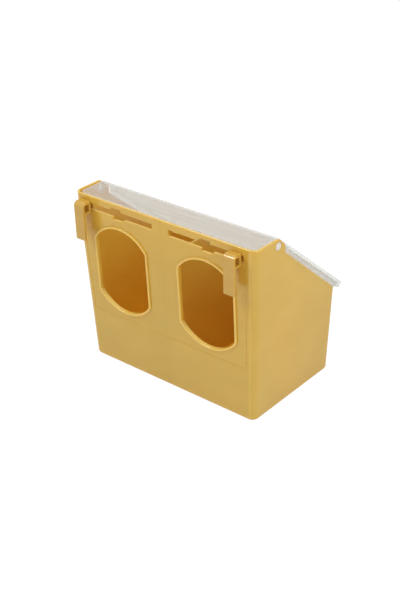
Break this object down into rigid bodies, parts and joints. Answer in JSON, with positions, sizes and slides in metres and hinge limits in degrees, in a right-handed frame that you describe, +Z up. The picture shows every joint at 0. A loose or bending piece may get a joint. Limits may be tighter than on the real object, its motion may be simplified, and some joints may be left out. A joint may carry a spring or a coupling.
{
  "type": "pigeon feeder",
  "caption": "Drafted plastic feed hopper with rounded windows in its front wall, an overhanging translucent lid hinged in its ears, and sliding hooks that hang it on cage wire.",
  "frame": {"origin": "centre of the hopper's flat base, on the surface that it stands on", "axes": "+Z up, +X along the length, -Y out of the windows towards the cage"},
  "size_m": [0.2006, 0.1392, 0.1666],
  "materials": {
    "hopper_plastic": "satin mustard-yellow polypropylene",
    "lid_plastic": "milky translucent polypropylene",
    "hook_plastic": "satin mustard-yellow polypropylene"
  },
  "bodies": {
    "hopper": {"hopper": "hopper_plastic"},
    "lid": {"lid": "lid_plastic"},
    "hook_left": {"hook_left": "hook_plastic"},
    "hook_right": {"hook_right": "hook_plastic"}
  },
  "joints": [
    {"name": "lid_hinge", "type": "hinge", "parent": "hopper", "child": "lid", "pos_m": [0, -0.03138, 0.1602], "axis": [1, 0, 0], "range_deg": [0, 135]},
    {"name": "hook_left_slide", "type": "slide", "parent": "hopper", "child": "hook_left", "axis": [1, 0, 0], "range_m": [-0.0007, 0.0745]},
    {"name": "hook_right_slide", "type": "slide", "parent": "hopper", "child": "hook_right", "axis": [1, 0, 0], "range_m": [-0.0698, 0.0054]}
  ]
}
